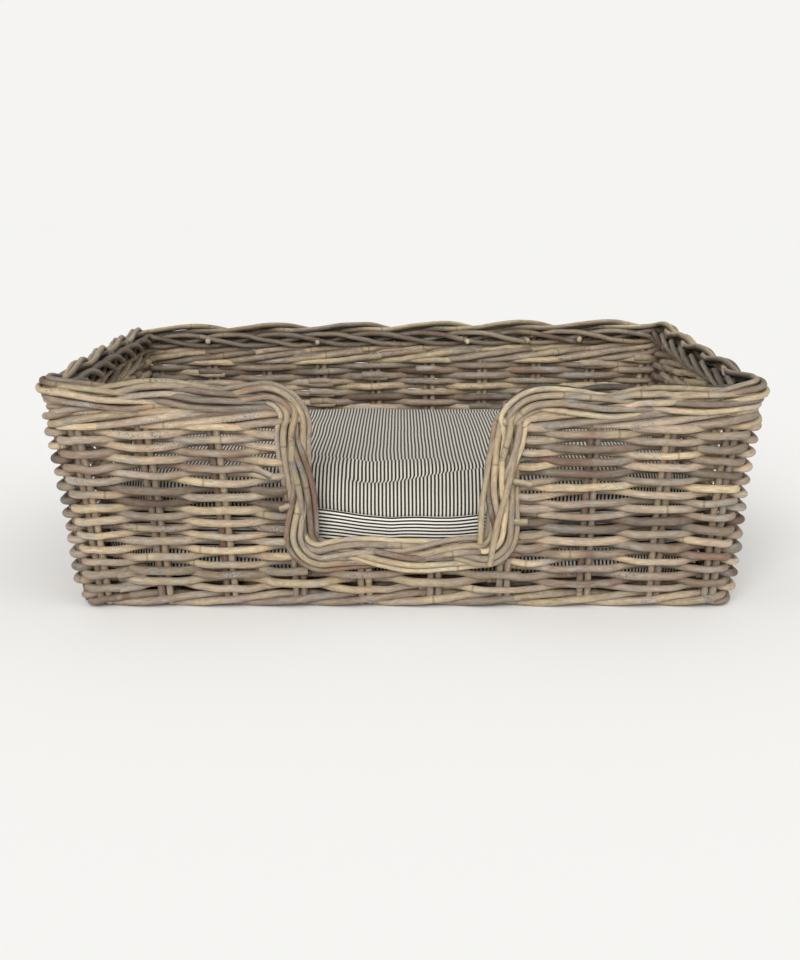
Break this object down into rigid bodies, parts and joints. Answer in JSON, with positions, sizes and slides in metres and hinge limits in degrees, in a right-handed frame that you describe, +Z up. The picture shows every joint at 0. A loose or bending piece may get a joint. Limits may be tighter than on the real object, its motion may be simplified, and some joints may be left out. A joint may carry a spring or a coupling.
{
  "type": "pet bed basket",
  "caption": "Rectangular wicker pet bed basket with a scooped entrance in its front wall, a plaited rim and foot, and a loose striped box cushion that lifts out.",
  "frame": {"origin": "on the floor under the middle of the basket", "axes": "+Z up, front wall with the scoop towards -Y, +X to the right seen from the front"},
  "size_m": [0.8, 0.6, 0.272],
  "materials": {
    "weaving_cane": "matt weathered rattan with grey and straw canes mixed",
    "border_cane": "matt straw and grey rattan, smooth bark",
    "stake_cane": "matt tan rattan",
    "ticking": "off-white cotton ticking with narrow black stripes",
    "wadding": "soft white fibre filling",
    "zip_tape": "off-white woven zip tape",
    "zip_metal": "antique brass, brushed"
  },
  "bodies": {
    "basket": {"base_sticks": "stake_cane", "base_weave": "weaving_cane", "foot_front": "border_cane", "foot_back": "border_cane", "foot_left": "border_cane", "foot_right": "border_cane", "foot_corners": "border_cane", "stakes_front_left": "stake_cane", "stakes_front_sill": "stake_cane", "stakes_front_right": "stake_cane", "stakes_back": "stake_cane", "stakes_left": "stake_cane", "stakes_right": "stake_cane", "weave_front_left": "weaving_cane", "weave_front_sill": "weaving_cane", "weave_front_right": "weaving_cane", "weave_back": "weaving_cane", "weave_left": "weaving_cane", "weave_right": "weaving_cane", "weave_corner_front_left": "weaving_cane", "weave_corner_front_right": "weaving_cane", "weave_corner_back_left": "weaving_cane", "weave_corner_back_right": "weaving_cane", "wale_front_left": "border_cane", "wale_front_right": "border_cane", "wale_back": "border_cane", "wale_left": "border_cane", "wale_right": "border_cane", "rim_front_left": "border_cane", "rim_front_right": "border_cane", "rim_back": "border_cane", "rim_left": "border_cane", "rim_right": "border_cane", "rim_corners": "border_cane", "scoop_left": "border_cane", "scoop_right": "border_cane", "scoop_sill": "border_cane"},
    "cushion": {"cushion_filling": "wadding", "cushion_top_cover": "ticking", "cushion_boxing": "ticking", "cushion_bottom_cover": "ticking", "zip_tape": "zip_tape"},
    "zip_slider": {"zip_slider": "zip_metal"}
  },
  "joints": [
    {"name": "cushion_lift", "type": "slide", "parent": "basket", "child": "cushion", "axis": [0, 0, 1], "range_m": [0, 0.32]},
    {"name": "zip_slide", "type": "slide", "parent": "cushion", "child": "zip_slider", "axis": [1, 0, 0], "range_m": [0, 0.4]}
  ]
}
